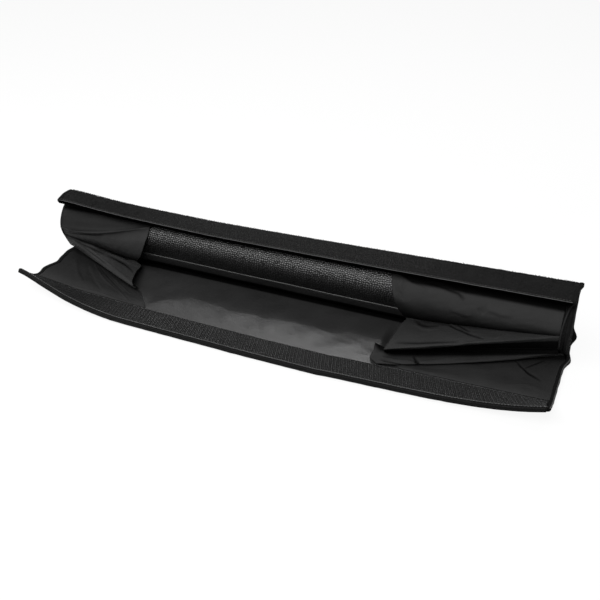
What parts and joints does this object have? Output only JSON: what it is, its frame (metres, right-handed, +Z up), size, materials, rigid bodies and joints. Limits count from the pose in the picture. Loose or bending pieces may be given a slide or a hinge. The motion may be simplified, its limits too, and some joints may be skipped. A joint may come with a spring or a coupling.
{
  "type": "roof rack pad",
  "caption": "Wrap-around padded sleeve for a wide roof bar, lying open: foam bolster, cloth flap, hook and loop strips and folded nylon end sleeves.",
  "frame": {"origin": "mid-length on the flat underside of the outer cover, below the crease between the flap and the bolster", "axes": "+X along the bar, +Y towards the back of the bolster, +Z up from the floor"},
  "size_m": [0.7, 0.1652, 0.0991],
  "materials": {
    "woven_cover": "matt plain-woven polyester, near black",
    "coated_lining": "satin coated cloth, near black",
    "hook_tape": "woven hook tape with fine transverse rows, near black",
    "loop_tape": "fuzzy loop tape, near black",
    "binding_tape": "grosgrain binding tape, near black",
    "foam": "closed-cell foam, dark grey",
    "pebbled_grip": "pebbled non-slip coating with a satin shine, near black",
    "smooth_facing": "smooth coated cloth, near black",
    "thin_nylon": "thin ripstop-weight nylon with a soft sheen, near black"
  },
  "bodies": {
    "root": {"outer_cover": "woven_cover", "flap_lining": "coated_lining", "hook_strip": "hook_tape", "loop_strip": "loop_tape", "roof_facing": "coated_lining", "front_binding": "binding_tape", "roof_binding": "binding_tape", "left_end_tape": "binding_tape", "right_end_tape": "binding_tape", "foam_core": "foam", "grip_panel": "pebbled_grip", "lower_facing": "smooth_facing", "left_end_panel": "woven_cover", "right_end_panel": "woven_cover", "left_end_sleeve": "thin_nylon", "right_end_sleeve": "thin_nylon"}
  },
  "joints": []
}
